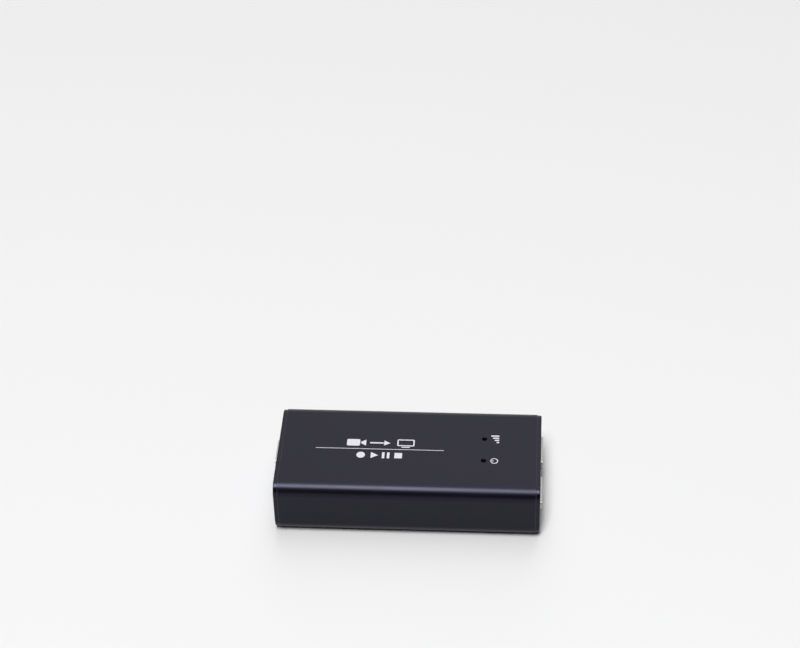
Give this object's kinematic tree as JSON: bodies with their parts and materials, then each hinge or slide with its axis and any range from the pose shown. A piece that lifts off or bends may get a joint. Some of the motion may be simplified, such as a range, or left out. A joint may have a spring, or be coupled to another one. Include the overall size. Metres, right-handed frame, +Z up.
{
  "type": "video capture box",
  "caption": "Black anodised aluminium box with rounded long edges and screwed end plates, video sockets at one end, a data socket at the other and indicator lamps in its top.",
  "frame": {"origin": "middle of the footprint, on the underside that the box stands on", "axes": "+X along the box towards the video socket end, +Y to the back, +Z up"},
  "size_m": [0.1016, 0.047, 0.023],
  "materials": {
    "anodised_shell": "black anodised over a fine matt blast, faint violet cast",
    "anodised_plate": "black anodised sheet, satin",
    "black_steel": "black oxide, semi-matt",
    "board_laminate": "green solder mask on glass laminate",
    "clear_film": "milky polyester film",
    "socket_steel": "nickel-plated sheet steel",
    "socket_black": "glass-filled moulding",
    "socket_blue": "blue glass-filled moulding",
    "contact_gold": "gold flash",
    "lamp_lens": "water-clear epoxy",
    "spacer_nylon": "black nylon",
    "tinned_lead": "tinned wire",
    "chip_black": "black moulding compound",
    "thermal_pad": "thermal tape",
    "sink_aluminium": "black anodised",
    "crystal_can": "plated can",
    "ferrite": "shielded ferrite",
    "capacitor_can": "aluminium can on a black base",
    "ceramic_body": "tan ceramic",
    "ceramic_dark": "dark glaze"
  },
  "bodies": {
    "root": {"housing": "anodised_shell", "video_end_plate": "anodised_plate", "data_end_plate": "anodised_plate", "video_end_screws": "black_steel", "data_end_screws": "black_steel", "main_board": "board_laminate", "insulating_film": "clear_film", "video_in_shell": "socket_steel", "video_in_insulator": "socket_black", "video_in_contacts": "contact_gold", "video_out_shell": "socket_steel", "video_out_insulator": "socket_black", "video_out_contacts": "contact_gold", "data_shell": "socket_steel", "data_insulator": "socket_blue", "data_contacts": "contact_gold", "signal_lamp": "lamp_lens", "power_lamp": "lamp_lens", "signal_lamp_spacer": "spacer_nylon", "power_lamp_spacer": "spacer_nylon", "lamp_leads": "tinned_lead", "capture_processor": "chip_black", "thermal_tape": "thermal_pad", "heat_sink": "sink_aluminium", "video_receiver": "chip_black", "video_splitter": "chip_black", "memory_chips": "chip_black", "flash_chip": "chip_black", "crystals": "crystal_can", "inductors": "ferrite", "voltage_regulators": "chip_black", "electrolytic_capacitors": "capacitor_can", "ceramic_capacitors": "ceramic_body", "resistors": "ceramic_dark", "surge_arrays": "chip_black"}
  },
  "joints": []
}
